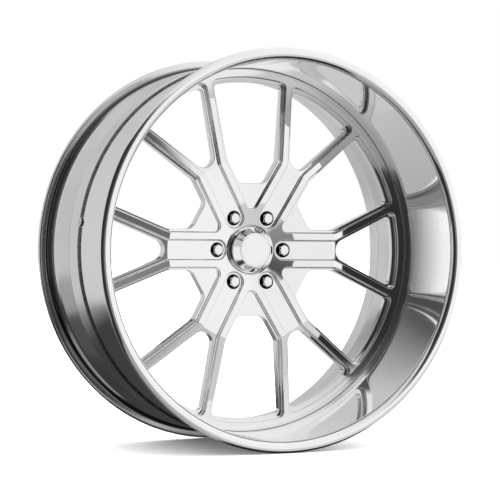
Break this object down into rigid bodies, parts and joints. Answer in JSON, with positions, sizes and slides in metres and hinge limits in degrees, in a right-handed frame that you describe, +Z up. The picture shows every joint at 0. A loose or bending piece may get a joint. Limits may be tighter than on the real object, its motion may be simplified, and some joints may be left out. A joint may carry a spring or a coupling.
{
  "type": "wheel rim",
  "caption": "Two-piece welded forged wheel rim with forked spokes, a deep polished lip, chrome nuts, a centre cap and a tyre valve.",
  "frame": {"origin": "centre of the rim, on the spin axis midway between the flanges", "axes": "+Y along the spin axis towards the vehicle, the outboard face looks along -Y, +Z up, +X to the right seen from outboard"},
  "size_m": [0.7458, 0.3288, 0.7458],
  "materials": {
    "polished_center": "mirror polished",
    "polished_lip": "mirror polished",
    "raw_barrel": "fine turned satin",
    "weld_bead": "as welded, dull",
    "chrome_cap": "chrome plated",
    "emblem_plate": "bright, lightly brushed",
    "chrome_nuts": "chrome plated",
    "chrome_valve_cap": "chrome plated, knurled",
    "nickel_brass": "nickel plated",
    "brass": "machined",
    "spring_steel": "drawn wire",
    "rubber": "moulded"
  },
  "bodies": {
    "wheel": {"forged_center": "polished_center", "outer_rim_half": "polished_lip", "inner_rim_half": "raw_barrel", "rim_seam_weld": "weld_bead", "center_weld_rear": "weld_bead", "valve_stem": "nickel_brass", "valve_grommet": "rubber", "valve_washer": "nickel_brass", "valve_nut": "nickel_brass", "valve_core_barrel": "brass", "valve_core_spring": "spring_steel", "valve_core_seal": "rubber"},
    "center_cap": {"center_cap_body": "chrome_cap", "cap_emblem_disc": "emblem_plate", "cap_o_ring": "rubber", "cap_retaining_ring": "spring_steel"},
    "lug_nut_1": {"lug_nut_1": "chrome_nuts"},
    "lug_nut_2": {"lug_nut_2": "chrome_nuts"},
    "lug_nut_3": {"lug_nut_3": "chrome_nuts"},
    "lug_nut_4": {"lug_nut_4": "chrome_nuts"},
    "lug_nut_5": {"lug_nut_5": "chrome_nuts"},
    "lug_nut_6": {"lug_nut_6": "chrome_nuts"},
    "valve_cap": {"valve_cap": "chrome_valve_cap", "valve_cap_seal": "rubber"},
    "valve_core_pin": {"valve_core_pin": "brass"}
  },
  "joints": [
    {"name": "cap_pull", "type": "slide", "parent": "wheel", "child": "center_cap", "axis": [0, -1, 0], "range_m": [0, 0.2]},
    {"name": "nut_1_removal", "type": "slide", "parent": "wheel", "child": "lug_nut_1", "axis": [0, -1, 0], "range_m": [0, 0.2]},
    {"name": "nut_2_removal", "type": "slide", "parent": "wheel", "child": "lug_nut_2", "axis": [0, -1, 0], "range_m": [0, 0.2]},
    {"name": "nut_3_removal", "type": "slide", "parent": "wheel", "child": "lug_nut_3", "axis": [0, -1, 0], "range_m": [0, 0.2]},
    {"name": "nut_4_removal", "type": "slide", "parent": "wheel", "child": "lug_nut_4", "axis": [0, -1, 0], "range_m": [0, 0.2]},
    {"name": "nut_5_removal", "type": "slide", "parent": "wheel", "child": "lug_nut_5", "axis": [0, -1, 0], "range_m": [0, 0.2]},
    {"name": "nut_6_removal", "type": "slide", "parent": "wheel", "child": "lug_nut_6", "axis": [0, -1, 0], "range_m": [0, 0.2]},
    {"name": "valve_cap_removal", "type": "slide", "parent": "wheel", "child": "valve_cap", "axis": [0.9903, 0, -0.1392], "range_m": [0, 0.02]},
    {"name": "valve_pin_press", "type": "slide", "parent": "wheel", "child": "valve_core_pin", "axis": [-0.9903, 0, 0.1392], "range_m": [0, 0.0012], "stiffness_N_per_m": 2000, "springref_m": -0.001}
  ]
}
